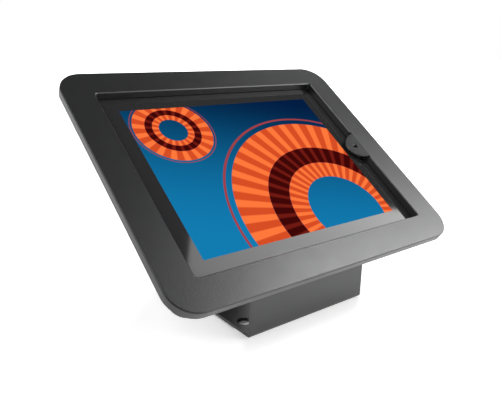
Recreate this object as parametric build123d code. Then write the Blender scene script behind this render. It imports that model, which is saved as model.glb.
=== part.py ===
from build123d import *
from math import cos, radians, sin, sqrt, tan
import os

# Security kiosk for a tablet: a wide flat frame closes over the tablet in a locked tray,
# and a folded sheet stand holds the tray above the counter at a reading angle.
# Lengths are in millimetres. X runs to the right, Y to the back and Z up.
# The origin is the middle of the stand's base, on the counter.

overrun = 1.0
face_gap = 0.1

# Reading angle and height of the middle of the glass above the counter
tilt = 35.0
glass_height = 113.2

# Tablet
display_width = 197.1
display_length = 147.8
side_border = 22.05
end_border = 18.95
tablet_depth = 9.4
tablet_corner = 9.0
tablet_back_bevel = 4.0
case_wall = 1.3
case_ledge = 1.3
case_floor = 1.2
glass_thickness = 0.8
glass_gap = 0.2
panel_border = 3.4
panel_thickness = 2.5
cell_count = 3
cell_length = 128.0
cell_gap = 2.0
cell_from_board = 5.0
cell_below_panel = 1.1
board_width = 17.0
board_length = 110.0
board_thickness = 1.2
board_margin = 4.0
chip_size = 11.0
chip_height = 1.6
chip_count = 3

# Home button, in the glass beside the display
home_radius = 5.4
home_gap = 0.3
home_recess = 0.15
home_rim = 0.6
home_dish_depth = 0.25
home_lip = 1.4
home_lip_thickness = 0.8
home_lip_gap = 0.2
home_travel = 0.5
home_switch_radius = 2.5

# Buttons in the tablet's edges
edge_button_drop = 3.6
edge_button_height = 2.2
edge_button_stand = 0.6
edge_button_gap = 0.3
edge_lip = 1.1
edge_lip_thickness = 0.8
edge_lip_gap = 0.4
power_length = 9.4
power_from_block = 10.0
volume_length = 20.0
volume_from_mute = 22.0
mute_length = 2.6
mute_slot_length = 5.0
mute_from_block = 14.0

# Socket for the charging lead, in the tablet's right end
dock_width = 24.0
dock_depth = 5.4
dock_height = 4.2
dock_wall = 0.9
dock_slot_gap = 0.3

# Tray
side_margin = 8.4
bracket_from_tablet = 1.35
tray_wall = 2.0
tray_edge_round = 3.0
tray_corner = 13.0
pad_length = 38.0
pad_thickness = 3.0
pad_inset = 15.0
pad_from_screws = 13.9
block_leg = 20.0
block_gap = 0.4
block_drop = 1.2
cable_hole_radius = 15.0

# Front frame
frame_thickness = 6.4
frame_overhang_side = 8.75
frame_overhang_top = 2.0
frame_overhang_bottom = 7.7
frame_corner = 21.5
frame_edge_round = 1.0
frame_lip_side = 6.15
frame_lip_end = 4.5
opening_corner = 2.6
opening_chamfer = 0.7
frame_seat_gap = 0.2
gasket_thickness = 0.5
gasket_width = 3.5
gasket_inset = 0.5

# Half-round cover over the home button, which slopes down from the frame's face
cover_radius = 14.4
cover_slope = 15.0
cover_thickness = 1.8
cover_web = 2.0
cover_web_share = 0.91
cover_edge_chamfer = 0.5
cover_gap = 0.15
cover_tongue_thickness = 1.6
cover_tongue_reach = 12.0
notch_width = 33.6
notch_depth = 0.75
pin_hole_radius = 1.7
pin_hole_chamfer = 0.8

# Hooks on the frame's lower edge
hook_spacing = 140.0
hook_width = 20.0
hook_thickness = 1.6
hook_bend = 0.5
hook_leg_gap = 0.3
hook_toe_drop = 4.6
hook_toe_reach = 0.5
hook_flange = 8.5
hook_slot_side_gap = 0.6
hook_slot_above = 0.8
hook_slot_below = 1.2

# Cam lock in the tray's upper wall
lock_plug_radius = 3.2
lock_running_gap = 0.05
lock_body_wall = 1.25
lock_flange_rim = 1.5
lock_flange_gap = 0.3
lock_flange_thickness = 1.5
lock_body_length = 9.7
lock_hole_gap = 0.15
lock_nut_wall = 1.0
lock_nut_thickness = 2.5
lock_nut_gap = 0.05
lock_plug_recess = 0.2
lock_plug_stand = 0.6
lock_keyway_width = 4.0
lock_keyway_height = 1.0
lock_keyway_depth = 4.0
cam_thickness = 1.5
cam_width = 5.0
cam_from_frame = 0.4
cam_square = 3.6
cam_square_gap = 0.05
keeper_leg_from_cam = 2.1
keeper_below_cam = 0.5
keeper_thickness = 1.5
keeper_bend = 0.5
keeper_width = 6.0
keeper_flange = 14.0
keeper_behind_body = 0.8

# Screws that hold the tray and the rear panel: radii, and flats of the recess and the nut
screw_shank = 2.0
screw_head = 3.7
screw_head_height = 2.2
screw_recess = 2.5
screw_length = 12.0
recess_depth_share = 0.6
thread_gap = 0.05
hole_gap = 0.25
nut_across = 7.0
nut_thickness = 3.2

# Stand, folded from sheet
sheet = 2.5
bend = 1.0
base_hole_radius = 5.5
base_hole_from_side = 9.85
base_hole_from_front = 21.0
vesa_spacing = 100.0
vesa_from_side = 9.85
vesa_from_back = 14.8
rear_flange_bottom = 12.0
rear_flange_past_screws = 7.0
rear_screw_from_side = 22.75
rear_screw_from_end = 4.3
rear_screw_above_counter = 0.3

# Outside of the tablet, centre of its home button and room for its cells
tablet_width = display_width + 2 * side_border
tablet_length = display_length + 2 * end_border
home_x = display_width / 2 + side_border / 2
board_x = board_margin + case_wall + case_ledge + board_width / 2 - tablet_width / 2
cell_room = -2 * (board_x + board_width / 2 + cell_from_board)
cell_width = (cell_room - (cell_count - 1) * cell_gap) / cell_count

# Sizes of the lock round its plug, and the reach of its cam
lock_body_radius = lock_plug_radius + lock_running_gap + lock_body_wall
lock_flange_radius = lock_body_radius + lock_flange_rim
lock_drop = lock_flange_radius + lock_flange_gap
cam_reach = lock_drop - cam_from_frame
keeper_leg_from_axis = cam_reach + keeper_leg_from_cam

# Room between the tablet and the tray for the lock above and the hooks below
lock_room = lock_body_length - tray_wall + keeper_behind_body + keeper_width
top_margin = lock_room + bracket_from_tablet
bottom_margin = hook_leg_gap + hook_flange + bracket_from_tablet

# Heights square to the glass, counted from its top face
underside = gasket_thickness + face_gap
face = underside + frame_thickness
glass_bottom = -glass_thickness
case_bottom = -tablet_depth
case_inside = case_bottom + case_floor
tray_inside = case_bottom - pad_thickness
tray_bottom = tray_inside - tray_wall
tray_rim = underside - frame_seat_gap

# Places of the tray and frame edges across the glass
tray_inner_side = tablet_width / 2 + side_margin
tray_inner_top = tablet_length / 2 + top_margin
tray_inner_bottom = -tablet_length / 2 - bottom_margin
tray_side = tray_inner_side + tray_wall
tray_top = tray_inner_top + tray_wall
tray_end = tray_inner_bottom - tray_wall
tray_middle = (tray_top + tray_end) / 2
frame_width = 2 * (tray_side + frame_overhang_side)
frame_top = tray_top + frame_overhang_top
frame_end = tray_end - frame_overhang_bottom
frame_middle = (frame_top + frame_end) / 2
opening_width = tablet_width - 2 * frame_lip_side
opening_length = tablet_length - 2 * frame_lip_end

notch_x = opening_width / 2 + notch_depth
lock_height = underside - lock_drop
lock_end = tray_top - lock_body_length
cam_face = lock_end - lock_plug_stand

# Stand: its sheet runs past the screws that hold the tray
stand_width = vesa_spacing + 2 * vesa_from_side
vesa_back = vesa_spacing / 2 * cos(radians(tilt)) - tray_bottom * sin(radians(tilt))
base_depth = 2 * (vesa_back + vesa_from_back)

# The plane of the glass: every piece of the tablet, tray and frame is drawn on it
seat = Plane(
    origin=(0, 0, glass_height),
    x_dir=(1, 0, 0),
    z_dir=(0, -sin(radians(tilt)), cos(radians(tilt))),
).location
lock_axis = Pos(0, 0, lock_height) * Rot(-90, 0, 0)


def block(width, length, bottom, top, corner=0, x=0, y=0):
    """Flat block between two heights, its upright corners rounded where a radius is given."""
    outline = RectangleRounded(width, length, corner) if corner else Rectangle(width, length)
    return Pos(x, y, bottom) * extrude(outline, top - bottom)


def post(radius, bottom, top, x=0, y=0):
    """Round post between two heights."""
    return Pos(x, y, bottom) * extrude(Circle(radius), top - bottom)


def hexagon(across, bottom, top, x=0, y=0):
    """Hexagonal post between two heights, its corners to the left and right."""
    return Pos(x, y, bottom) * extrude(RegularPolygon(across / 2, 6, major_radius=False), top - bottom)


def screw(shank, head, head_height, recess, length):
    """Screw that stands on its head's seat: head below zero, shank above, hexagonal recess."""
    body = post(head, -head_height, 0) + post(shank, 0, length)
    return body - hexagon(recess, -head_height, -head_height * (1 - recess_depth_share))


def other_side(corners, thickness):
    """Corners of the sheet's second side, which lies to the right of the way round."""
    steps = [(b - a).normalized() for a, b in zip(corners, corners[1:])]
    across = [Vector(step.Y, -step.X) for step in steps]
    inner = [corners[0] + across[0] * thickness]
    for corner, before, after in zip(corners[1:], across, across[1:]):
        inner.append(corner + (before + after) * (thickness / (1 + before.dot(after))))
    inner.append(corners[-1] + across[-1] * thickness)
    return inner


def folded_sheet(points, thickness, inner_radius):
    """Face of a folded sheet seen from its end, with round bends."""
    corners = [Vector(*point) for point in points]
    far = other_side(corners, thickness)
    near_radii = []
    far_radii = []
    for before, corner, after in zip(corners, corners[1:], corners[2:]):
        turns_right = (corner - before).cross(after - corner).Z < 0
        near_radii.append(inner_radius + thickness if turns_right else inner_radius)
        far_radii.append(inner_radius if turns_right else inner_radius + thickness)
    near_line = FilletPolyline(*corners, radius=near_radii)
    far_line = FilletPolyline(*far, radius=far_radii)
    ends = [Line(near_line @ 0, far_line @ 0), Line(near_line @ 1, far_line @ 1)]
    return make_face([near_line, far_line] + ends)


def step_profile(tip, leg, flange_end, step_height, thickness, inner_radius):
    """End view of a bracket with a toe, an upright leg and a flange under the frame."""
    points = [(tip, step_height), (leg, step_height), (leg, underside), (flange_end, underside)]
    return folded_sheet(points, thickness, inner_radius)


def hook_places():
    """Places of the hooks from left to right."""
    return [-hook_spacing / 2, hook_spacing / 2]


def vesa_places():
    """Corners of the square in which the tray is screwed to the stand."""
    half = vesa_spacing / 2
    return [(x, y) for y in (-half, half) for x in (-half, half)]


def front_frame():
    """Bezel: rounded outer edge, chamfered opening, notch and pocket for the cover."""
    length = frame_top - frame_end
    ring = block(frame_width, length, underside, face, frame_corner, 0, frame_middle)
    ring -= block(opening_width, opening_length, underside - overrun, face + overrun, opening_corner)
    top = ring.faces().sort_by(Axis.Z)[-1]
    ring = fillet(top.outer_wire().edges(), frame_edge_round)
    top = ring.faces().sort_by(Axis.Z)[-1]
    ring = chamfer(top.inner_wires()[0].edges(), opening_chamfer)
    notch_start = opening_width / 2 - overrun
    notch = block(notch_x - notch_start, notch_width, underside - overrun, face + overrun)
    ring -= Pos((notch_x + notch_start) / 2, 0, 0) * notch
    pocket_reach = cover_tongue_reach + 2 * cover_gap
    pocket_width = cover_web_width() + 2 * cover_gap
    pocket_top = underside + cover_tongue_thickness + 2 * cover_gap
    pocket = block(pocket_reach + overrun, pocket_width, underside - overrun, pocket_top)
    ring -= Pos(notch_x + (pocket_reach - overrun) / 2, 0, 0) * pocket
    return ring


def cover_web_width():
    """Width of the cover's web, a little less than the plate above it."""
    return 2 * sqrt(cover_radius**2 - cover_web**2) * cover_web_share


def home_button_cover():
    """Half-round plate that slopes down from the notch, with a web and a tongue under the frame."""
    edge = notch_x - cover_gap
    bottom = underside + cover_gap
    plate = post(cover_radius, -cover_thickness, 0)
    plate = chamfer(plate.faces().sort_by(Axis.Z)[-1].edges(), cover_edge_chamfer)
    hole_x = (home_x - edge) / cos(radians(cover_slope))
    plate -= post(pin_hole_radius, -cover_thickness - overrun, overrun, hole_x)
    sink = Cone(pin_hole_radius, pin_hole_radius + pin_hole_chamfer, pin_hole_chamfer)
    plate -= Pos(hole_x, 0, -pin_hole_chamfer / 2) * sink
    plate = Pos(edge, 0, face) * Rot(0, -cover_slope, 0) * plate
    spare = 2 * cover_radius
    plate -= block(spare, spare, bottom, face + spare, 0, edge + spare / 2)
    web_width = cover_web_width()
    web = block(cover_web, web_width, bottom, face - cover_thickness, 0, edge - cover_web / 2)
    reach = cover_tongue_reach + cover_gap + cover_web
    tongue_top = bottom + cover_tongue_thickness
    tongue = block(reach, web_width, bottom, tongue_top, 0, edge - cover_web + reach / 2)
    return plate + web + tongue


def frame_gasket():
    """Foam strip between the frame's lip and the glass."""
    width = opening_width + 2 * gasket_inset
    length = opening_length + 2 * gasket_inset
    corner = opening_corner + gasket_inset
    outer_corner = corner + gasket_width
    top = underside
    bottom = underside - gasket_thickness
    ring = block(width + 2 * gasket_width, length + 2 * gasket_width, bottom, top, outer_corner)
    return ring - block(width, length, bottom - overrun, top + overrun, corner)


def frame_hooks():
    """Hooks whose toes reach out through the slots of the tray's lower wall."""
    leg = tray_inner_bottom + hook_leg_gap
    tip = tray_end - hook_toe_reach
    toe = underside - hook_toe_drop
    profile = step_profile(tip, leg, leg + hook_flange, toe, hook_thickness, hook_bend)
    one = Plane.YZ.location * extrude(profile, hook_width / 2, both=True)
    return [Pos(x, 0, 0) * one for x in hook_places()]


def lock_keeper():
    """Bracket whose foot the cam passes over when the lock is shut."""
    foot = lock_height - cam_width / 2 - keeper_below_cam
    end = keeper_leg_from_axis + keeper_thickness + keeper_flange
    tip = lock_plug_radius
    profile = step_profile(tip, keeper_leg_from_axis, end, foot, keeper_thickness, keeper_bend)
    one = Plane.XZ.location * extrude(profile, keeper_width / 2, both=True)
    middle = lock_end - keeper_behind_body - keeper_width / 2
    return Pos(0, middle, 0) * one


def back_tray():
    """Folded tray with slots for the hooks, a hole for the lock and holes in its floor."""
    width = 2 * tray_side
    length = tray_top - tray_end
    body = block(width, length, tray_bottom, tray_rim, tray_corner, 0, tray_middle)
    body = fillet(body.faces().sort_by(Axis.Z)[0].edges(), tray_edge_round)
    width -= 2 * tray_wall
    length -= 2 * tray_wall
    corner = tray_corner - tray_wall
    body -= block(width, length, tray_inside, face, corner, 0, tray_middle)
    for x in hook_places():
        width = hook_width + 2 * hook_slot_side_gap
        bottom = underside - hook_toe_drop - hook_thickness - hook_slot_below
        top = underside - hook_toe_drop + hook_slot_above
        depth = tray_wall + 2 * overrun
        body -= block(width, depth, bottom, top, 0, x, tray_end + tray_wall / 2)
    hole = post(lock_body_radius + lock_hole_gap, tray_inner_top - overrun, tray_top + overrun)
    body -= lock_axis * hole
    for x, y in vesa_places():
        body -= post(screw_shank + hole_gap, tray_bottom - overrun, tray_inside + overrun, x, y)
    body -= post(cable_hole_radius, tray_bottom - overrun, tray_inside + overrun)
    return body


def tray_pads():
    """Four foam pads that carry the tablet."""
    start = vesa_spacing / 2 + screw_head + pad_from_screws
    end = tablet_width / 2 - pad_inset
    x = (start + end) / 2
    y = tablet_length / 2 - pad_inset - pad_length / 2
    one = block(end - start, pad_length, tray_inside, case_bottom)
    return [Pos(side_x * x, side_y * y, 0) * one for side_x in (-1, 1) for side_y in (-1, 1)]


def corner_blocks():
    """Blocks that fill the tray's corners and centre the tablet."""
    width = 2 * (tray_inner_side - block_gap)
    length = tray_inner_top - tray_inner_bottom - 2 * block_gap
    corner = tray_corner - tray_wall - block_gap
    top = underside - block_drop
    ring = block(width, length, tray_inside, top, corner, 0, tray_middle)
    inner_corner = tablet_corner + block_gap
    inner_width = tablet_width + 2 * block_gap
    inner_length = tablet_length + 2 * block_gap
    ring -= block(inner_width, inner_length, tray_inside - overrun, top + overrun, inner_corner)
    x = tablet_width / 2 - block_leg
    y = tablet_length / 2 - block_leg
    spare_x = side_margin + block_leg
    spare_y = top_margin + block_leg
    keep = block(spare_x, spare_y, tray_inside, top)
    blocks = []
    for side_x in (-1, 1):
        for side_y in (-1, 1):
            middle_x = side_x * (x + spare_x / 2)
            middle_y = side_y * (y + spare_y / 2)
            blocks.append(ring & Pos(middle_x, middle_y, 0) * keep)
    return blocks


def lock_body():
    """Housing of the lock: flange outside the wall, round body inside, bore for the plug."""
    body = post(lock_flange_radius, tray_top, tray_top + lock_flange_thickness)
    body += post(lock_body_radius, lock_end, tray_top)
    bore = lock_plug_radius + lock_running_gap
    body -= post(bore, lock_end - overrun, tray_top + lock_flange_thickness + overrun)
    return lock_axis * body


def lock_nut():
    """Thin nut that clamps the lock's body to the tray's wall."""
    inner = tray_inner_top
    start = inner - lock_nut_thickness
    nut = hexagon(2 * (lock_body_radius + lock_nut_wall), start, inner)
    nut -= post(lock_body_radius + lock_nut_gap, start - overrun, inner + overrun)
    return lock_axis * nut


def lock_plug():
    """Turning plug: keyway outside, square neck for the cam inside."""
    front = tray_top + lock_flange_thickness - lock_plug_recess
    plug = post(lock_plug_radius, cam_face, front)
    plug -= block(lock_keyway_height, lock_keyway_width, front - lock_keyway_depth, front + overrun)
    neck_end = cam_face - cam_thickness
    plug += block(cam_square, cam_square, neck_end, cam_face)
    return lock_axis * plug


def lock_cam():
    """Cam plate on the plug's neck; at rest it points at the frame, clear of the keeper."""
    hub = Circle(lock_plug_radius)
    arm = Pos(0, -cam_reach / 2) * Rectangle(cam_width, cam_reach) & Circle(cam_reach)
    plate = extrude(hub + arm, cam_thickness)
    hole = cam_square + 2 * cam_square_gap
    plate -= block(hole, hole, -overrun, cam_thickness + overrun)
    return lock_axis * Pos(0, 0, cam_face - cam_thickness) * plate


def power_place():
    """Place of the power button along the tablet's left end."""
    return tablet_length / 2 - block_leg - power_from_block


def volume_place():
    """Place of the volume rocker along the tablet's upper edge."""
    return mute_place() + volume_from_mute


def mute_place():
    """Place of the mute slot along the tablet's upper edge."""
    return mute_from_block + block_leg - tablet_width / 2


def less_walls(size, wall):
    """Size left of the tablet between a wall on each side."""
    return size - 2 * wall


def tablet_case():
    """Shell with bevelled back edges, a seat for the glass and openings for buttons and socket."""
    seat_in = case_wall
    hollow_in = case_wall + case_ledge
    case = block(tablet_width, tablet_length, case_bottom, -face_gap, tablet_corner)
    case = chamfer(case.faces().sort_by(Axis.Z)[0].edges(), tablet_back_bevel)
    seat_width = less_walls(tablet_width, seat_in)
    seat_length = less_walls(tablet_length, seat_in)
    case -= block(seat_width, seat_length, glass_bottom, overrun, tablet_corner - seat_in)
    hollow_width = less_walls(tablet_width, hollow_in)
    hollow_length = less_walls(tablet_length, hollow_in)
    case -= block(hollow_width, hollow_length, case_inside, overrun, tablet_corner - hollow_in)
    height = edge_button_height + 2 * edge_button_gap
    low = -edge_button_drop - height / 2
    high = -edge_button_drop + height / 2
    through = hollow_in + 2 * overrun
    wall_x = tablet_width / 2 - hollow_in / 2
    wall_y = tablet_length / 2 - hollow_in / 2
    case -= block(through, power_length + 2 * edge_button_gap, low, high, 0, -wall_x, power_place())
    case -= block(volume_length + 2 * edge_button_gap, through, low, high, 0, volume_place(), wall_y)
    case -= block(mute_slot_length, through, low, high, 0, mute_place(), wall_y)
    slot = dock_width - 2 * dock_wall
    dock_low = case_inside + dock_wall
    dock_high = case_inside + dock_height - dock_wall
    case -= block(through, slot, dock_low, dock_high, 0, wall_x, 0)
    return case


def cover_glass():
    """Glass with the hole for the home button."""
    inset = case_wall + glass_gap
    width = less_walls(tablet_width, inset)
    length = less_walls(tablet_length, inset)
    glass = block(width, length, glass_bottom, 0, tablet_corner - inset)
    return glass - post(home_radius + home_gap, glass_bottom - overrun, overrun, home_x)


def display_panel():
    """Display behind the glass, a little larger than the lit part."""
    width = display_width + 2 * panel_border
    length = display_length + 2 * panel_border
    return block(width, length, glass_bottom - panel_thickness, glass_bottom)


def home_button():
    """Round button with a shallow dish, held below the glass by its lip."""
    lip_top = glass_bottom - home_lip_gap
    button = post(home_radius, lip_top, -home_recess, home_x)
    button += post(home_radius + home_lip, lip_top - home_lip_thickness, lip_top, home_x)
    bowl = Cone(home_radius / 2, home_radius - home_rim, home_dish_depth)
    return button - Pos(home_x, 0, -home_recess - home_dish_depth / 2) * bowl


def home_switch():
    """Pillar with the contact that the home button presses."""
    lip_bottom = glass_bottom - home_lip_gap - home_lip_thickness
    top = lip_bottom - home_travel - face_gap
    foot_top = case_inside + board_thickness
    foot = block(2 * home_switch_radius, 2 * home_radius, case_inside, foot_top, 0, home_x)
    return foot + post(home_switch_radius, case_inside, top, home_x)


def edge_button(length, lip_length, lip_height):
    """Button in an edge, drawn with its face along +Y and its middle at zero."""
    depth = edge_button_stand + case_wall + case_ledge + edge_lip_gap
    corner = edge_button_height / 2 - face_gap
    outline = RectangleRounded(length, edge_button_height, corner)
    cap = Rot(90, 0, 0) * extrude(outline, depth)
    cap = Pos(0, edge_button_stand, 0) * cap
    lip = Rot(90, 0, 0) * extrude(Rectangle(lip_length, lip_height), edge_lip_thickness)
    return cap + Pos(0, edge_button_stand - depth, 0) * lip


def power_button():
    """Button in the tablet's left end."""
    lip_height = edge_button_height + 2 * edge_lip - 2 * edge_button_gap
    one = edge_button(power_length, power_length + 2 * edge_lip, lip_height)
    return Pos(-tablet_width / 2, power_place(), -edge_button_drop) * Rot(0, 0, 90) * one


def volume_rocker():
    """Rocker in the tablet's upper edge."""
    lip_height = edge_button_height + 2 * edge_lip - 2 * edge_button_gap
    one = edge_button(volume_length, volume_length + 2 * edge_lip, lip_height)
    return Pos(volume_place(), tablet_length / 2, -edge_button_drop) * one


def mute_switch():
    """Sliding knob, drawn at the left end of its slot."""
    lip_height = edge_button_height + 2 * edge_lip - 2 * edge_button_gap
    one = edge_button(mute_length, mute_slot_length + edge_lip, lip_height)
    start = mute_place() - mute_slot_length / 2 + mute_length / 2 + edge_button_gap
    return Pos(start, tablet_length / 2, -edge_button_drop) * one


def dock_socket():
    """Metal mouth behind the slot in the tablet's right end."""
    end = tablet_width / 2 - case_wall - case_ledge - dock_slot_gap
    x = end - dock_depth / 2
    top = case_inside + dock_height
    body = block(dock_depth, dock_width, case_inside, top, 0, x)
    width = dock_width - 2 * dock_wall
    mouth = block(dock_depth, width, case_inside + dock_wall, top - dock_wall)
    return body - Pos(x + dock_wall, 0, 0) * mouth


def battery_cells():
    """Flat cells side by side on the case's floor."""
    pitch = cell_width + cell_gap
    start = -pitch * (cell_count - 1) / 2
    top = glass_bottom - panel_thickness - cell_below_panel
    one = block(cell_width, cell_length, case_inside, top)
    return [Pos(start + index * pitch, 0, 0) * one for index in range(cell_count)]


def logic_board():
    """Narrow board at the left end, with its chips."""
    top = case_inside + board_thickness
    board = block(board_width, board_length, case_inside, top, 0, board_x)
    pitch = board_length / chip_count
    start = -pitch * (chip_count - 1) / 2
    for index in range(chip_count):
        y = start + index * pitch
        board += block(chip_size, chip_size, top, top + chip_height, 0, board_x, y)
    return board


def slope_top(y):
    """Height of the stand's sloping face at a place from front to back."""
    slope = tan(radians(tilt))
    plane_middle_y = -tray_bottom * sin(radians(tilt))
    plane_middle_z = glass_height + tray_bottom * cos(radians(tilt))
    return plane_middle_z + (y - plane_middle_y) * slope


def vesa_drill(radius):
    """Four drills square to the slope, long enough for every sheet there."""
    low = tray_bottom - screw_length
    return [seat * post(radius, low, tray_inside, x, y) for x, y in vesa_places()]


def base_hole_places():
    """Holes near the base's corners, for the screws that hold it to the counter."""
    x = stand_width / 2 - base_hole_from_side
    y = base_depth / 2 - base_hole_from_front
    return [(side_x * x, side_y * y) for side_x in (-1, 1) for side_y in (-1, 1)]


def rear_screw_places():
    """Two screws through the rear panel's lower flange."""
    x = stand_width / 2 - rear_screw_from_side
    y = base_depth / 2 - rear_flange_bottom + rear_screw_from_end
    return [(-x, y), (x, y)]


def stand_shell():
    """One sheet folded to base, front and slope."""
    half = base_depth / 2
    slope_end = half - sheet * sin(radians(tilt))
    points = [(half, 0), (-half, 0), (-half, slope_top(-half)), (slope_end, slope_top(slope_end))]
    shell = Plane.YZ.location * extrude(folded_sheet(points, sheet, bend), stand_width / 2, both=True)
    for x, y in base_hole_places():
        shell -= post(base_hole_radius, -overrun, sheet + overrun, x, y)
    for x, y in rear_screw_places():
        shell -= post(screw_shank + thread_gap, -overrun, sheet + overrun, x, y)
    for drill in vesa_drill(screw_shank + hole_gap):
        shell -= drill
    return shell - seat * post(cable_hole_radius, tray_bottom - screw_length, tray_inside)


def rear_panel():
    """Back sheet with a flange on the base and a flange under the slope."""
    half = base_depth / 2
    corner_z = slope_top(half) - sheet / cos(radians(tilt))
    length = (half - vesa_back) / cos(radians(tilt)) + rear_flange_past_screws
    tip_y = half - length * cos(radians(tilt))
    tip_z = corner_z - length * sin(radians(tilt))
    points = [(tip_y, tip_z), (half, corner_z), (half, sheet), (half - rear_flange_bottom, sheet)]
    panel = Plane.YZ.location * extrude(folded_sheet(points, sheet, bend), stand_width / 2, both=True)
    for x, y in rear_screw_places():
        panel -= post(screw_shank + hole_gap, sheet - overrun, 2 * sheet + overrun, x, y)
    for drill in vesa_drill(screw_shank + hole_gap):
        panel -= drill
    return panel


def rear_screws():
    """Screws that hold the rear panel on the base."""
    length = 2 * sheet - rear_screw_above_counter
    one = screw(screw_shank, screw_head, screw_head_height, screw_recess, length)
    return [Pos(x, y, 2 * sheet) * Rot(180, 0, 0) * one for x, y in rear_screw_places()]


def vesa_screws():
    """Screws through the tray's floor and the stand's slope."""
    one = screw(screw_shank, screw_head, screw_head_height, screw_recess, screw_length)
    return [Pos(x, y, tray_inside) * Rot(180, 0, 0) * one for x, y in vesa_places()]


def vesa_nuts():
    """Nuts under the slope; the rear pair also holds the rear panel's flange."""
    nuts = []
    for x, y in vesa_places():
        top = tray_bottom - sheet * (2 if y > 0 else 1)
        bottom = top - nut_thickness
        nut = hexagon(nut_across, bottom, top, x, y)
        nuts.append(nut - post(screw_shank + thread_gap, bottom - overrun, top + overrun, x, y))
    return nuts


upright_pieces = {
    "stand_shell": stand_shell(),
    "rear_panel": rear_panel(),
    "rear_screws": rear_screws(),
}
tilted_pieces = {
    "front_frame": front_frame(),
    "home_button_cover": home_button_cover(),
    "frame_gasket": frame_gasket(),
    "frame_hooks": frame_hooks(),
    "lock_keeper": lock_keeper(),
    "back_tray": back_tray(),
    "tray_pads": tray_pads(),
    "corner_blocks": corner_blocks(),
    "lock_body": lock_body(),
    "lock_nut": lock_nut(),
    "lock_plug": lock_plug(),
    "lock_cam": lock_cam(),
    "tablet_case": tablet_case(),
    "cover_glass": cover_glass(),
    "display_panel": display_panel(),
    "home_button": home_button(),
    "home_switch": home_switch(),
    "power_button": power_button(),
    "volume_rocker": volume_rocker(),
    "mute_switch": mute_switch(),
    "dock_socket": dock_socket(),
    "battery_cells": battery_cells(),
    "logic_board": logic_board(),
    "vesa_screws": vesa_screws(),
    "vesa_nuts": vesa_nuts(),
}


def save(name, piece, place):
    """Writes one named piece, or one group of alike pieces, at its place."""
    solids = piece if isinstance(piece, list) else [piece]
    placed = [place * one for one in solids]
    shape = placed[0] if len(placed) == 1 else Compound(children=placed)
    export_step(shape, f"parts/{name}.step")


os.makedirs("parts", exist_ok=True)
for name, piece in upright_pieces.items():
    save(name, piece, Location())
for name, piece in tilted_pieces.items():
    save(name, piece, seat)
count = len(upright_pieces) + len(tilted_pieces)
print(count, "named pieces; frame", round(frame_width, 1), "by", round(frame_top - frame_end, 1))
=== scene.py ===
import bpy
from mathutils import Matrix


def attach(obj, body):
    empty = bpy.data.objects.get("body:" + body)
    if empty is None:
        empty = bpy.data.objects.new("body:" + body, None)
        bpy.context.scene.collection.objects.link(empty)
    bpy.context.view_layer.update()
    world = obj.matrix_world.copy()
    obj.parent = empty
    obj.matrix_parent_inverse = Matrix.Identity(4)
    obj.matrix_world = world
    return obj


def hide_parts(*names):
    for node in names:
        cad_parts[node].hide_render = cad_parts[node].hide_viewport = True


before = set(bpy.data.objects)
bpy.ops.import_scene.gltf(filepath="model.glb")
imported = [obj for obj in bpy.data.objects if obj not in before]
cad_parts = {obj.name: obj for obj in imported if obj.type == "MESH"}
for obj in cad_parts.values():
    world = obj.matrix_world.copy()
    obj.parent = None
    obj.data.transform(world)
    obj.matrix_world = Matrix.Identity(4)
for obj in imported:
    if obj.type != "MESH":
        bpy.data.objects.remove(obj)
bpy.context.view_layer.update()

# %% [markdown]
# ## The tilted plane that everything lies on
# The glass, the frame and the tray of the real kiosk lie in one plane, which the stand tilts
# by 35 degrees. Each corner could be worked out along the slope, but it is easier to draw a
# piece flat, with the glass at zero and the middle of the display at the centre, and to turn
# it into place at the end. One matrix, called the seat, does that for every piece.
# %% Units and the seat of the tablet
from math import pi, radians

import bmesh
import bpy
from mathutils import Matrix, Vector

mm = 0.001
tilt = radians(35)
glass_height = 113.2 * mm
seat = Matrix.Translation((0, 0, glass_height)) @ Matrix.Rotation(tilt, 4, "X")
print("the glass faces", [round(n, 2) for n in seat.to_3x3() @ Vector((0, 0, 1))])

# %% [markdown]
# ## Finishes as small node graphs
# Paint, plating, plastic and foam differ in colour, gloss and metal, and one Principled
# shader can play all of them. Pictures of surfaces could be wrapped round the pieces, but
# they need an unwrapped mesh and they blur when seen close. A few numbers and nodes stay
# sharp at any distance, so one helper starts a finish and another adds a node to its graph.
# %% Helpers that start a finish
def start_finish(name, colour, roughness, metallic=0.0, ior=1.5):
    finish = bpy.data.materials.new(name)
    finish.use_nodes = True
    shader = finish.node_tree.nodes["Principled BSDF"]
    shader.inputs["Base Color"].default_value = (*colour, 1)
    shader.inputs["Roughness"].default_value = roughness
    shader.inputs["Metallic"].default_value = metallic
    shader.inputs["IOR"].default_value = ior
    return finish, finish.node_tree, shader


def add_node(tree, kind, **values):
    node = tree.nodes.new(kind)
    for key, value in values.items():
        setattr(node, key, value)
    return node


print("a finish starts from its colour, roughness, metal and IOR")

# %% [markdown]
# ## Noise that stays put
# No real surface is quite even, and the unevenness has no pattern. It could be painted by
# hand, but noise gives it for a few numbers. It reads Object coordinates here, so it has one
# size on every piece and stays put when a piece moves. Generated coordinates would stretch
# with each piece. Noise keeps near the middle of its range, so a helper spreads it out.
# %% Helpers for noise
noise_low = 0.25
noise_high = 0.75


def noise_of(tree, grain, detail=2.0, stretch=(1, 1, 1)):
    """Noise with features about as wide as grain, in metres."""
    place = add_node(tree, "ShaderNodeTexCoord")
    squeeze = add_node(tree, "ShaderNodeMapping")
    squeeze.inputs["Scale"].default_value = stretch
    noise = add_node(tree, "ShaderNodeTexNoise")
    noise.inputs["Scale"].default_value = 1 / grain
    noise.inputs["Detail"].default_value = detail
    tree.links.new(place.outputs["Object"], squeeze.inputs["Vector"])
    tree.links.new(squeeze.outputs["Vector"], noise.inputs["Vector"])
    return noise.outputs["Fac"]


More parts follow.
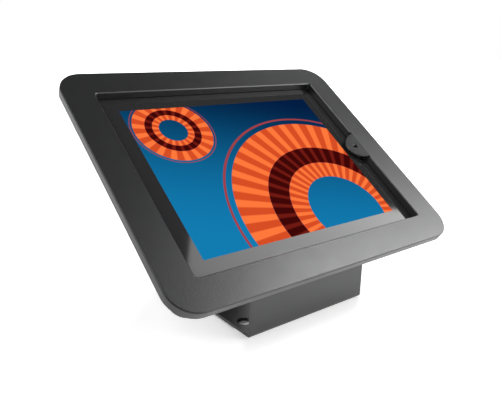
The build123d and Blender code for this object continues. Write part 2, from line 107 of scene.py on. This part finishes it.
def spread(tree, value, low, high):
    """Maps the middle half of the noise to a range."""
    span = add_node(tree, "ShaderNodeMapRange")
    span.inputs["From Min"].default_value = noise_low
    span.inputs["From Max"].default_value = noise_high
    span.inputs["To Min"].default_value = low
    span.inputs["To Max"].default_value = high
    tree.links.new(value, span.inputs["Value"])
    return span.outputs["Result"]


print("noise between", noise_low, "and", noise_high, "is spread over each range")

# %% [markdown]
# ## Grain and drift
# A sprayed or moulded surface differs from spot to spot in two ways. It has fine grain that
# a fingertip feels, and its tone and gloss drift slowly over a few centimetres. The grain
# could be displaced in the mesh, but it is too fine for that, so it goes into a bump node.
# The drift only changes colour and roughness, with one wide noise for each.
# %% Helpers for grain and drift
grain_detail = 3.0
gloss_narrowing = 3


def add_grain(tree, shader, grain, height, stretch=(1, 1, 1)):
    """Fine bumps of the coat or the moulding, with their width and height in metres."""
    bump = add_node(tree, "ShaderNodeBump")
    bump.inputs["Strength"].default_value = 1.0
    bump.inputs["Distance"].default_value = height
    tree.links.new(noise_of(tree, grain, grain_detail, stretch), bump.inputs["Height"])
    tree.links.new(bump.outputs["Normal"], shader.inputs["Normal"])


def add_drift(tree, shader, colour, amount, roughness, change, size):
    """Slow changes in tone and gloss, as even a good sprayed coat still has."""
    tone = add_node(tree, "ShaderNodeMix", data_type="RGBA")
    tone.inputs["A"].default_value = (*[c * (1 - amount) for c in colour], 1)
    tone.inputs["B"].default_value = (*[c * (1 + amount) for c in colour], 1)
    tree.links.new(spread(tree, noise_of(tree, size), 0, 1), tone.inputs["Factor"])
    tree.links.new(tone.outputs["Result"], shader.inputs["Base Color"])
    gloss_noise = noise_of(tree, size / gloss_narrowing)
    gloss = spread(tree, gloss_noise, roughness - change, roughness + change)
    tree.links.new(gloss, shader.inputs["Roughness"])


print("gloss drifts over", round(1 / gloss_narrowing, 2), "of the width that tone does")

# %% [markdown]
# ## Charcoal powder coat
# Frame, tray and stand are metal under a dark satin powder coat. The powder melts to a skin
# with a faint orange peel: bumps a little over a millimetre wide and a few hundredths of a
# millimetre high. In the mesh they would take millions of faces, so a bump node makes them.
# The cover over the button is moulded plastic with a like skin, and it shares the recipe.
# The stand wears the same coat as the frame; its lighter colour is painted light for light that the
# lamps don't give. The cover's lighter colour is partly its own plastic and partly painted light.
# %% The painted metal
satin_roughness = 0.325
peel_width = 1.3 * mm
peel_height = 0.058 * mm
drift_width = 30 * mm
coat_tone_change = 0.06
coat_gloss_change = 0.02


def powder_coat(name, colour, ior=1.5):
    finish, tree, shader = start_finish(name, colour, satin_roughness, ior=ior)
    add_drift(
        tree, shader, colour, coat_tone_change, satin_roughness, coat_gloss_change, drift_width,
    )
    add_grain(tree, shader, peel_width, peel_height)
    return finish


charcoal = (0.0125, 0.0127, 0.013)
# Painted light: this lighter charcoal stands in for light on the stand, and partly on the cover.
charcoal_with_painted_light = (0.025, 0.0252, 0.0258)
frame_paint = powder_coat("satin_frame_coat", charcoal)
tray_paint = powder_coat("satin_tray_coat", charcoal)
stand_paint = powder_coat("satin_stand_coat", charcoal_with_painted_light, ior=1.6)
cover_moulding = powder_coat("satin_cover_moulding", charcoal_with_painted_light, ior=1.6)
print("two coats of", charcoal, "and two of", charcoal_with_painted_light)

# %% [markdown]
# ## Plated, moulded and foam finishes
# Screws and brackets are zinc plated, the lock is brushed, the tablet's shell is blasted
# aluminium, and its buttons are polished. Blocks are moulded and pads are foam, both black.
# Each could have a graph of its own, but they differ only in colour, gloss, metal and grain,
# so one recipe with other numbers is enough. Brush marks are grain squeezed along one axis.
# %% The other finishes
tone_change = 0.08
gloss_change = 0.15
drift_per_grain = 8


def plain_finish(name, colour, roughness, grain, height, metallic=0.0, stretch=(1, 1, 1)):
    finish, tree, shader = start_finish(name, colour, roughness, metallic)
    gloss_span = roughness * gloss_change
    add_drift(tree, shader, colour, tone_change, roughness, gloss_span, drift_per_grain * grain)
    add_grain(tree, shader, grain, height, stretch)
    return finish


zinc = plain_finish("zinc_plate", (0.52, 0.53, 0.55), 0.34, 0.3 * mm, 0.003 * mm, metallic=1.0)
lock_metal = plain_finish(
    "brushed_lock", (0.5, 0.5, 0.52), 0.3, 0.5 * mm, 0.001 * mm, metallic=1.0, stretch=(1, 6, 1),
)
blasted = plain_finish(
    "blasted_aluminium", (0.58, 0.59, 0.6), 0.42, 0.15 * mm, 0.003 * mm, metallic=1.0,
)
black_moulding = plain_finish("black_moulding", (0.02, 0.02, 0.021), 0.38, 0.4 * mm, 0.008 * mm)
black_foam = plain_finish("black_foam", (0.03, 0.03, 0.031), 0.9, 0.5 * mm, 0.15 * mm)
button_black = plain_finish("polished_button", (0.012, 0.012, 0.013), 0.14, 2 * mm, 0.001 * mm)
board_green = plain_finish(
    "circuit_board", (0.02, 0.14, 0.06), 0.35, 2.5 * mm, 0.05 * mm, stretch=(1, 4, 1),
)
cell_foil = plain_finish("cell_foil", (0.1, 0.1, 0.105), 0.3, 6 * mm, 0.03 * mm)
print("there are now", len(bpy.data.materials), "finishes")

# %% [markdown]
# ## Dressing the solids
# The rigid pieces of the kiosk already have their real shapes, so all they need is a finish.
# Each could get its own line of code, but a table of who wears what is easier to read and to
# change. What the table doesn't name is hardware, and that is zinc plated.
# %% Finishes for the solids
finish_of = {
    "front_frame": frame_paint,
    "home_button_cover": cover_moulding,
    "stand_shell": stand_paint,
    "rear_panel": stand_paint,
    "back_tray": tray_paint,
    "tray_pads": black_foam,
    "frame_gasket": black_foam,
    "corner_blocks": black_moulding,
    "home_switch": black_moulding,
    "lock_body": lock_metal,
    "lock_plug": lock_metal,
    "tablet_case": blasted,
    "display_panel": button_black,
    "battery_cells": cell_foil,
    "logic_board": board_green,
    "home_button": button_black,
    "power_button": button_black,
    "volume_rocker": button_black,
    "mute_switch": button_black,
}
for name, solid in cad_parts.items():
    solid.data.materials.clear()
    solid.data.materials.append(finish_of.get(name, zinc))
print("dressed", len(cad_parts), "solids")

# %% [markdown]
# ## Outlines that become plates
# Glass, strip and pads are flat sheets with rounded corners on the real kiosk. They could be
# cut out of cubes with booleans, but an outline that is filled and pulled up leaves cleaner
# faces. Each piece starts as closed loops of edges. `triangle_fill` makes a sheet between
# them, in which the inner loops stay open, and an extrusion gives the sheet its thickness.
# %% Helpers for loops and plates
def rounded_loop(work, width, length, corner=0, segments=1):
    """A closed loop of edges; the corners are rounded by bevelling its four vertices."""
    made = bmesh.ops.create_grid(work, x_segments=1, y_segments=1, size=0.5)["verts"]
    bmesh.ops.scale(work, vec=(width, length, 1), verts=made)
    bmesh.ops.delete(work, geom=[made[0].link_faces[0]], context="FACES_ONLY")
    if corner:
        bmesh.ops.bevel(
            work, geom=made, offset=corner, offset_type="OFFSET", segments=segments,
            profile=0.5, affect="VERTICES", material=-1,
        )


def round_loop(work, radius, segments, x=0, y=0):
    made = bmesh.ops.create_circle(work, cap_ends=False, segments=segments, radius=radius)["verts"]
    bmesh.ops.translate(work, vec=(x, y, 0), verts=made)


def fill_loops(work):
    bmesh.ops.triangle_fill(work, use_beauty=True, use_dissolve=False, edges=list(work.edges))


def thick_plate(work, top, bottom):
    """Fills the loops at zero and pulls the plate out between two heights."""
    fill_loops(work)
    bmesh.ops.translate(work, vec=(0, 0, top), verts=list(work.verts))
    pulled = bmesh.ops.extrude_face_region(work, geom=list(work.faces))["geom"]
    lower = [v for v in pulled if isinstance(v, bmesh.types.BMVert)]
    bmesh.ops.translate(work, vec=(0, 0, bottom - top), verts=lower)


print("a plate starts as rounded or round loops of edges at zero")

# %% [markdown]
# ## From a drawing to a piece
# A drawing is only a flat bmesh round the centre. Each piece could be placed by moving its
# object, but a moved object carries its pattern along, so the place goes into the mesh. The
# last helper does that, turns the faces outwards, and says which body the piece rides on.
# %% Helpers that finish a piece
def add_object(name, work, finish):
    mesh = bpy.data.meshes.new(name)
    work.to_mesh(mesh)
    work.free()
    mesh.materials.append(finish)
    made = bpy.data.objects.new(name, mesh)
    bpy.context.scene.collection.objects.link(made)
    return made


def finish_piece(name, work, place, body, finish):
    bmesh.ops.transform(work, matrix=place, verts=list(work.verts))
    bmesh.ops.recalc_face_normals(work, faces=list(work.faces))
    piece = add_object(name, work, finish)
    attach(piece, body)
    print(name, "rides on", body, "with", len(piece.data.polygons), "faces")
    return piece


# %% [markdown]
# ## Glass with its black border
# The real glass is clear and printed black on its underside, except for a window in front
# of the display. It could be a clear sheet over a black one, but light that falls on the
# border mirrors right over the print, so one black polished plate with a window and a hole
# for the button looks the same and stays simple. It takes the place of the solid glass.
# %% The black border
display_width = 197.1 * mm
display_length = 147.8 * mm
glass_width = 238.2 * mm
glass_length = 182.7 * mm
glass_corner = 7.5 * mm
glass_thickness = 0.8 * mm
home_x = 109.575 * mm
home_hole = 5.7 * mm
border_black = plain_finish("black_glass", (0.019, 0.019, 0.0195), 0.05, 40 * mm, 0.0005 * mm)

work = bmesh.new()
rounded_loop(work, glass_width, glass_length, glass_corner, 12)
rounded_loop(work, display_width, display_length)
round_loop(work, home_hole, 48, x=home_x)
thick_plate(work, 0, -glass_thickness)
glass_border = finish_piece("glass_border", work, seat, "stand", border_black)
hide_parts("cover_glass")

# %% [markdown]
# ## A small calculator for node graphs
# The tablet of a kiosk shows a bright picture all day. It could be an image file, but here
# it is worked out on the glass from distances and angles, which needs no file and no
# unwrapping. That takes sums between nodes, and three helpers keep those readable: one does
# a sum, one lays a colour over another, and one draws a soft edge.
# %% Helpers for sums, layers and edges
def calc(tree, operation, *values):
    node = add_node(tree, "ShaderNodeMath", operation=operation)
    for socket, value in zip(node.inputs, values):
        if isinstance(value, (int, float)):
            socket.default_value = value
        else:
            tree.links.new(value, socket)
    return node.outputs[0]


def layer(tree, below, colour, mask):
    """Paints a colour, or another layer, over what lies below where the mask is one."""
    mix = add_node(tree, "ShaderNodeMix", data_type="RGBA")
    for socket, value in ((mix.inputs["A"], below), (mix.inputs["B"], colour)):
        if isinstance(value, tuple):
            socket.default_value = (*value, 1)
        else:
            tree.links.new(value, socket)
    tree.links.new(mask, mix.inputs["Factor"])
    return mix.outputs["Result"]


def soft_step(tree, value, edge, softness):
    """Zero below the edge and one above it, with a narrow soft change between."""
    span = add_node(tree, "ShaderNodeMapRange", interpolation_type="SMOOTHSTEP")
    span.inputs["From Min"].default_value = edge - softness
    span.inputs["From Max"].default_value = edge + softness
    tree.links.new(value, span.inputs["Value"])
    return span.outputs["Result"]


print("a layer is a Mix node, and an edge is a Map Range node")

# %% [markdown]
# ## Pleated paper fans
# The picture is a design of this lesson's own: two round paper fans with bright folds, dark
# rings and a thin outline. Each pleat could be modelled, but a display is flat, so it is
# enough to know how far a spot lies from a fan's centre, and at what angle. A sine of the
# angle gives the folds, and two soft steps of the distance cut out a ring.
# %% Helpers for the fans
ring_edge = 0.15 * mm
fold_bright = (1.0, 0.19, 0.045)
fold_shade = (0.68, 0.075, 0.018)
deep_bright = (0.16, 0.01, 0.006)
deep_shade = (0.05, 0.002, 0.002)
outline_red = (0.35, 0.05, 0.06)
fold_edge = (0.1, 0.35)
deep_edge = (0.4, 0.5)


def ring(tree, distance, inner, outer):
    inside = soft_step(tree, distance, inner, ring_edge)
    outside = soft_step(tree, distance, outer, ring_edge)
    return calc(tree, "SUBTRACT", inside, outside)


def paper_fan(tree, below, x, y, centre, radius, pleats):
    """Pleated rings round a centre; each ring's two sizes are shares of the radius."""
    across = calc(tree, "SUBTRACT", x, centre[0])
    along = calc(tree, "SUBTRACT", y, centre[1])
    across_square = calc(tree, "MULTIPLY", across, across)
    along_square = calc(tree, "MULTIPLY", along, along)
    distance = calc(tree, "SQRT", calc(tree, "ADD", across_square, along_square))
    angle = calc(tree, "ARCTAN2", along, across)
    fold = calc(tree, "SINE", calc(tree, "MULTIPLY", angle, pleats))
    folds = layer(tree, fold_shade, fold_bright, soft_step(tree, fold, *fold_edge))
    deep = layer(tree, deep_shade, deep_bright, soft_step(tree, fold, *deep_edge))
    rings = ((folds, 0.70, 1.0), (deep, 0.52, 0.70), (folds, 0.36, 0.52), (outline_red, 1.05, 1.07))
    picture = below
    for paint, inner, outer in rings:
        picture = layer(tree, picture, paint, ring(tree, distance, radius * inner, radius * outer))
    return picture


print("a ring's edges are", round(2 * ring_edge / mm, 2), "mm soft")

# %% [markdown]
# ## The lit display
# A real display gives off its own light, so the picture goes into the shader's emission. Its
# gloss is turned off, because next to so bright a picture hardly anything mirrors in it. A
# lamp behind a picture would do too, but it would need a clear sheet and more render time.
# The sky darkens towards the upper right, by a sum of both directions along the glass.
# %% The evening sky and the fans
sky_blue = (0.006, 0.2, 0.44)
night_blue = (0.001, 0.012, 0.055)
darker_up = 5.2
darker_right = 1.6
dusk_middle = 0.02
dusk_softness = 0.5
display_gap = 0.01 * mm


def flat_place(tree):
    """Distances across the glass from the middle of the display."""
    place = add_node(tree, "ShaderNodeTexCoord")
    lay_flat = add_node(tree, "ShaderNodeMapping", vector_type="TEXTURE")
    lay_flat.inputs["Location"].default_value = (0, 0, glass_height)
    lay_flat.inputs["Rotation"].default_value = (tilt, 0, 0)
    split = add_node(tree, "ShaderNodeSeparateXYZ")
    tree.links.new(place.outputs["Object"], lay_flat.inputs["Vector"])
    tree.links.new(lay_flat.outputs["Vector"], split.inputs["Vector"])
    return split.outputs["X"], split.outputs["Y"]


picture_light, tree, shader = start_finish("evening_fans", (0.0, 0.0, 0.0), 0.5)
x, y = flat_place(tree)
up = calc(tree, "MULTIPLY", y, darker_up)
right = calc(tree, "MULTIPLY", x, darker_right)
dusk = soft_step(tree, calc(tree, "ADD", up, right), dusk_middle, dusk_softness)
picture = layer(tree, sky_blue, night_blue, dusk)
picture = paper_fan(tree, picture, x, y, centre=(-62 * mm, 48 * mm), radius=34 * mm, pleats=18)
picture = paper_fan(tree, picture, x, y, centre=(52 * mm, -62 * mm), radius=104 * mm, pleats=40)
tree.links.new(picture, shader.inputs["Emission Color"])
shader.inputs["Emission Strength"].default_value = 1.0
shader.inputs["Specular IOR Level"].default_value = 0.0

work = bmesh.new()
rounded_loop(work, display_width, display_length)
thick_plate(work, -display_gap, -glass_thickness)
finish_piece("lit_display", work, seat, "stand", picture_light)

# %% [markdown]
# ## Foam pads
# The tablet rests on four foam pads on the floor of the tray. Pressed foam keeps its flat top
# and bottom while its sides swell. A cloth simulation could find that shape, but on 3 mm of
# foam nobody would see the difference. Here the rim is pulled up in rows, each a little wider
# or narrower than the last, and the top is closed in the end.
# %% Four foam pads
pad_side = 38.0 * mm
pad_thickness = 3.0 * mm
pad_corner = 2.5 * mm
pad_x = 86.6 * mm
pad_y = 58.85 * mm
tray_floor = -12.4 * mm
swell = 0.45 * mm
pad_rows = ((0.12, 0.55), (0.35, 0.95), (0.65, 0.95), (0.88, 0.55), (1.0, 0.0))


def foam_pad():
    """A square pad on zero. Each row is a share of the height and a share of the swell."""
    work = bmesh.new()
    rounded_loop(work, pad_side, pad_side, pad_corner, 6)
    rim = list(work.edges)
    fill_loops(work)
    reach = pad_side / 2
    rise = 0
    for height_share, swell_share in pad_rows:
        pulled = bmesh.ops.extrude_edge_only(work, edges=rim)["geom"]
        rim = [e for e in pulled if isinstance(e, bmesh.types.BMEdge) and e.is_boundary]
        moved = [v for v in pulled if isinstance(v, bmesh.types.BMVert)]
        wider = (pad_side / 2 + swell * swell_share) / reach
        bmesh.ops.scale(work, vec=(wider, wider, 1), verts=moved)
        bmesh.ops.translate(work, vec=(0, 0, pad_thickness * height_share - rise), verts=moved)
        reach *= wider
        rise = pad_thickness * height_share
    bmesh.ops.contextual_create(work, geom=rim)
    return work


pad_places = [(side_x * pad_x, side_y * pad_y, tray_floor) for side_x in (-1, 1) for side_y in (-1, 1)]
for number, place in enumerate(pad_places, 1):
    pad_seat = seat @ Matrix.Translation(place)
    pad = finish_piece(f"foam_pad_{number}", foam_pad(), pad_seat, "stand", black_foam)
    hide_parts("tray_pads")

# %% [markdown]
# ## The foam strip
# A thin foam strip is glued under the frame's lip and keeps the metal off the glass. It could
# be swept round a path, but it is flat and follows the opening, so two rounded loops and a
# thickness are enough. It rides on the frame and swings up with it.
# %% The strip under the lip
strip_width = 236.9 * mm
strip_length = 184.7 * mm
strip_corner = 6.6 * mm
strip_band = 3.5 * mm
strip_top = 0.6 * mm
strip_bottom = 0.1 * mm

work = bmesh.new()
rounded_loop(work, strip_width, strip_length, strip_corner, 8)
inner_width = strip_width - 2 * strip_band
inner_length = strip_length - 2 * strip_band
rounded_loop(work, inner_width, inner_length, strip_corner - strip_band, 6)
thick_plate(work, strip_top, strip_bottom)
foam_strip = finish_piece("foam_strip", work, seat, "frame", black_foam)
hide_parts("frame_gasket")

# %% [markdown]
# ## Heads of small screws
# Little screws hold the hooks, the lock's keeper and the cover from behind, and one holds the
# cam on the lock's plug. They show only when the frame is up, so a head is enough, without
# its thread. It could be a disc with a boolean cut, but it is easily drawn as a face between
# a circle and a hexagon. The circle is pulled up to the seat of the head, the hexagon a part
# of the way to make the recess, both are closed, and a bevel softens the outer edge.
# %% One screw head
recess_depth = 0.6
edge_softness = 0.25


def socket_head(radius, height, recess):
    """Head that stands on zero and points down, with a hexagonal recess."""
    work = bmesh.new()
    round_loop(work, radius, 24)
    round_loop(work, recess, 6)
    rim = [e for e in work.edges if e.verts[0].co.length > (radius + recess) / 2]
    key = [e for e in work.edges if e not in rim]
    fill_loops(work)
    bmesh.ops.translate(work, vec=(0, 0, -height), verts=list(work.verts))
    for outline, rise in ((rim, height), (key, height * recess_depth)):
        pulled = bmesh.ops.extrude_edge_only(work, edges=outline)["geom"]
        moved = [v for v in pulled if isinstance(v, bmesh.types.BMVert)]
        bmesh.ops.translate(work, vec=(0, 0, rise), verts=moved)
        far_edges = [e for e in pulled if isinstance(e, bmesh.types.BMEdge) and e.is_boundary]
        bmesh.ops.contextual_create(work, geom=far_edges)
    bmesh.ops.bevel(
        work, geom=rim, offset=height * edge_softness, offset_type="OFFSET", segments=3,
        profile=0.5, affect="EDGES", material=-1,
    )
    return work


print("a recess is", round(100 * recess_depth), "percent as deep as its head is high")

# %% [markdown]
# ## Where the screws sit
# Each hook of the frame is held by two screws side by side, and so are the keeper and the
# cover. Copies of one object could share a mesh, but each of these pieces has its place in
# its own mesh, so a table of places and a loop make them. The cam's screw is larger and
# looks along the lock, and it turns with the lock.
# %% All the screws
hook_x = 70 * mm
hook_step = 5 * mm
hook_y = -98.4 * mm
hook_z = -1.0 * mm
keeper_y = 97.2 * mm
keeper_z = -0.9 * mm
cover_x = 123.7 * mm
cover_z = 0.75 * mm
cam_y = 98.9 * mm
cam_z = -5.7 * mm

hook_row = [side * hook_x + step * hook_step for side in (-1, 1) for step in (-1, 1)]
hook_places = [(x, hook_y, hook_z) for x in hook_row]
keeper_places = [(x, keeper_y, keeper_z) for x in (13.7 * mm, 20.0 * mm)]
cover_places = [(cover_x, y, cover_z) for y in (-8 * mm, 8 * mm)]
frame_screws = {
    "hook_screw": hook_places,
    "keeper_screw": keeper_places,
    "cover_screw": cover_places,
}
for group, places in frame_screws.items():
    for number, place in enumerate(places, 1):
        work = socket_head(radius=2.0 * mm, height=1.3 * mm, recess=1.1 * mm)
        screw_seat = seat @ Matrix.Translation(place)
        finish_piece(f"{group}_{number}", work, screw_seat, "frame", zinc)

work = socket_head(radius=2.7 * mm, height=1.5 * mm, recess=1.4 * mm)
cam_seat = seat @ Matrix.Translation((0, cam_y, cam_z)) @ Matrix.Rotation(-pi / 2, 4, "X")
finish_piece("cam_screw", work, cam_seat, "lock", zinc)

# %% [markdown]
# ## The camera
# The picture was taken from the front left, a little above the display, with a lens that is
# slightly longer than the eye sees. A camera can be set by eye, but the straight edges of the
# frame and the opening fix its place, its turn and its lens much better, so these come from
# them. The view transform stays plain, so that a colour shows about as it is written.
# %% Camera
camera_place = (-0.28435, -0.34624, 0.21388)
camera_turn = [radians(angle) for angle in (73.515, -1.243, -37.715)]

camera_data = bpy.data.cameras.new("view")
camera_data.sensor_width = 36
camera_data.lens = 39.642
camera = bpy.data.objects.new("view", camera_data)
camera.location = camera_place
camera.rotation_euler = camera_turn
bpy.context.scene.collection.objects.link(camera)
bpy.context.scene.camera = camera
bpy.context.scene.view_settings.view_transform = "Standard"
to_display = (Vector(camera_place) - Vector((0, 0, glass_height))).length
print("the camera stands", round(to_display, 3), "m from the middle of the display")

# %% [markdown]
# ## A softbox
# A photographer lights dark satin paint with softboxes, which are lamps behind a wide white
# cloth. Point lamps would only give small glints, and a picture of a studio can't be moved
# piece by piece. Area lamps do both jobs: they are as wide as the cloth, and each has its own
# place. The helper sets one up by its direction, as a photographer would walk round the
# kiosk, and its strength is per area, so that a lamp made larger doesn't look dimmer.
# %% A helper for softboxes
lamp_distance = 6.0


def softbox(name, azimuth, elevation, half_size, radiance, roll=0, fade=0.0, far=lamp_distance):
    """A lamp that faces the kiosk. Azimuth 0 is behind it and 90 to the right, in degrees.
    The half sizes are shares of the distance, and fade makes the top dimmer than the bottom."""
    width = 2 * half_size[0] * far
    height = 2 * half_size[1] * far
    lamp = bpy.data.lights.new(name, "AREA")
    lamp.shape = "RECTANGLE"
    lamp.size = width
    lamp.size_y = height
    lamp.energy = radiance * pi * width * height
    lamp.use_nodes = True
    tree = lamp.node_tree
    spot = add_node(tree, "ShaderNodeNewGeometry")
    split = add_node(tree, "ShaderNodeSeparateXYZ")
    tree.links.new(spot.outputs["Parametric"], split.inputs["Vector"])
    strength = calc(tree, "MULTIPLY_ADD", split.outputs["Y"], 2 * fade, 1 - fade)
    tree.links.new(strength, tree.nodes["Emission"].inputs["Strength"])
    holder = bpy.data.objects.new(name, lamp)
    pole = Matrix.Translation((0, 0, glass_height)) @ Matrix.Rotation(radians(-azimuth), 4, "Z")
    lean = Matrix.Rotation(radians(elevation - 90), 4, "X") @ Matrix.Rotation(radians(-roll), 4, "Z")
    holder.matrix_world = pole @ lean @ Matrix.Translation((0, 0, far))
    bpy.context.scene.collection.objects.link(holder)
    print(name, "gives", round(lamp.energy), "watts")


print("softboxes stand", lamp_distance, "m from the display unless told otherwise")

# %% [markdown]
# ## The photographer's studio
# In the photograph the frame brightens slowly towards its lower right corner, and an edge of
# light lies in the black glass. A tall softbox on the right does both, and a hot spot just in
# front of it brightens the lower side. A large one on the left reaches the right wall of the
# opening by way of the glass, draws thin lines on the left edges and whitens the floor there.
# One low in front lights the upper wall of the opening, and a weak one beside it the stand.
# The last stands low behind, brightest at its foot, for the far end of the upper side and
# the base plate. Fewer lamps would do, but so each answers one thing in the photograph and
# can be changed alone. To see what one does, leave it out and render again.
# %% Six softboxes
just_in_front = 5.95

softbox("right_softbox", 102.8, 33.5, half_size=(0.085, 0.525), radiance=6.5, roll=5.6, fade=0.52)
softbox(
    "right_hot_spot", 112.5, 40.5, half_size=(0.109, 0.207), radiance=14.6, roll=1.4,
    far=just_in_front,
)
softbox("left_softbox", 276, 52, half_size=(0.30, 0.30), radiance=5.0)
softbox("front_softbox", 136, 10, half_size=(0.28, 0.16), radiance=5.0)
softbox("front_right_softbox", 131, 27, half_size=(0.19, 0.31), radiance=3.8)
softbox("back_softbox", 53, 21, half_size=(0.13, 0.27), radiance=13, fade=0.85)

# %% [markdown]
# ## White walls and a dim ceiling
# Around the lamps a studio has walls, and glossy paint mirrors those too. They could be
# modelled as a room, but the world behind everything can play them. It looks at the height
# of each direction: low down it is white, as the backdrop of the photograph, and higher up
# it falls to a dim ceiling, so that the paint that faces up stays dark.
# %% The world
ceiling_edge = 0.17
ceiling_softness = 0.08
wall_white = (1.0, 1.0, 1.0)
ceiling_grey = (0.08, 0.08, 0.08)

world = bpy.data.worlds.new("studio")
bpy.context.scene.world = world
world.use_nodes = True
tree = world.node_tree
direction = add_node(tree, "ShaderNodeTexCoord")
split = add_node(tree, "ShaderNodeSeparateXYZ")
tree.links.new(direction.outputs["Generated"], split.inputs["Vector"])
upper = soft_step(tree, split.outputs["Z"], ceiling_edge, ceiling_softness)
walls = layer(tree, wall_white, ceiling_grey, upper)
tree.links.new(walls, tree.nodes["Background"].inputs["Color"])
print("the walls turn dim above", ceiling_edge, "of the way up")

# %% [markdown]
# ## A floor as white as the backdrop
# In the photograph the kiosk stands on pure white, where a lit floor alone would be grey.
# More light would bleach the paint as well, so the floor adds a glow of its own, which only
# the camera, mirrors and clear pieces see. It is about half near the stand, so that the soft
# shadow stays, and full far off. Under the middle of the base it is off, as painted shade under the
# stand:
# the floor shows there through the inner half of each bolt hole, which stays dark.
# %% The floor's finish
floor_white = (0.9, 0.9, 0.9)
near_glow = 0.52
far_glow = 1.02
far_distance = 1.6
far_softness = 0.7
painted_shade_half = 43.5 * mm
painted_shade_softness = 1.5 * mm
painted_shade_stretch = 0.72

white_floor, tree, shader = start_finish("white_floor", floor_white, 0.8)
path = add_node(tree, "ShaderNodeLightPath")
seen = calc(tree, "MAXIMUM", path.outputs["Is Camera Ray"], path.outputs["Is Glossy Ray"])
seen = calc(tree, "MAXIMUM", seen, path.outputs["Is Transmission Ray"])
place = add_node(tree, "ShaderNodeTexCoord")
away = add_node(tree, "ShaderNodeVectorMath", operation="LENGTH")
split = add_node(tree, "ShaderNodeSeparateXYZ")
tree.links.new(place.outputs["Object"], away.inputs[0])
tree.links.new(place.outputs["Object"], split.inputs["Vector"])
far_off = soft_step(tree, away.outputs["Value"], far_distance, far_softness)
glow = calc(tree, "MULTIPLY_ADD", far_off, far_glow - near_glow, near_glow)
# Painted shade: no glow under the middle of the base, so the floor there stays dark as in the stand's
# shade.
sideways = calc(tree, "MULTIPLY", calc(tree, "ABSOLUTE", split.outputs["X"]), painted_shade_stretch)
forward = calc(tree, "ABSOLUTE", split.outputs["Y"])
outwards = calc(tree, "MAXIMUM", sideways, forward)
glow = calc(tree, "MULTIPLY", glow, soft_step(tree, outwards, painted_shade_half, painted_shade_softness))
shader.inputs["Emission Color"].default_value = (1, 1, 1, 1)
tree.links.new(calc(tree, "MULTIPLY", seen, glow), shader.inputs["Emission Strength"])
print("the floor glows from", near_glow, "near the stand to", far_glow, "far off")

# %% [markdown]
# ## The floor
# The counter under the real kiosk isn't part of it, so the floor is a stage: one large flat
# face that catches the shadow. It could be a plane added by hand, but the same helper as for
# the pieces makes it. It lies a hair below zero, because two faces at one height flicker.
# %% One large face
floor_drop = 0.1 * mm
floor_half = 6

work = bmesh.new()
bmesh.ops.create_grid(work, x_segments=1, y_segments=1, size=floor_half)
bmesh.ops.translate(work, vec=(0, 0, -floor_drop), verts=list(work.verts))
floor = add_object("floor", work, white_floor)
print("the floor is", 2 * floor_half, "m wide")
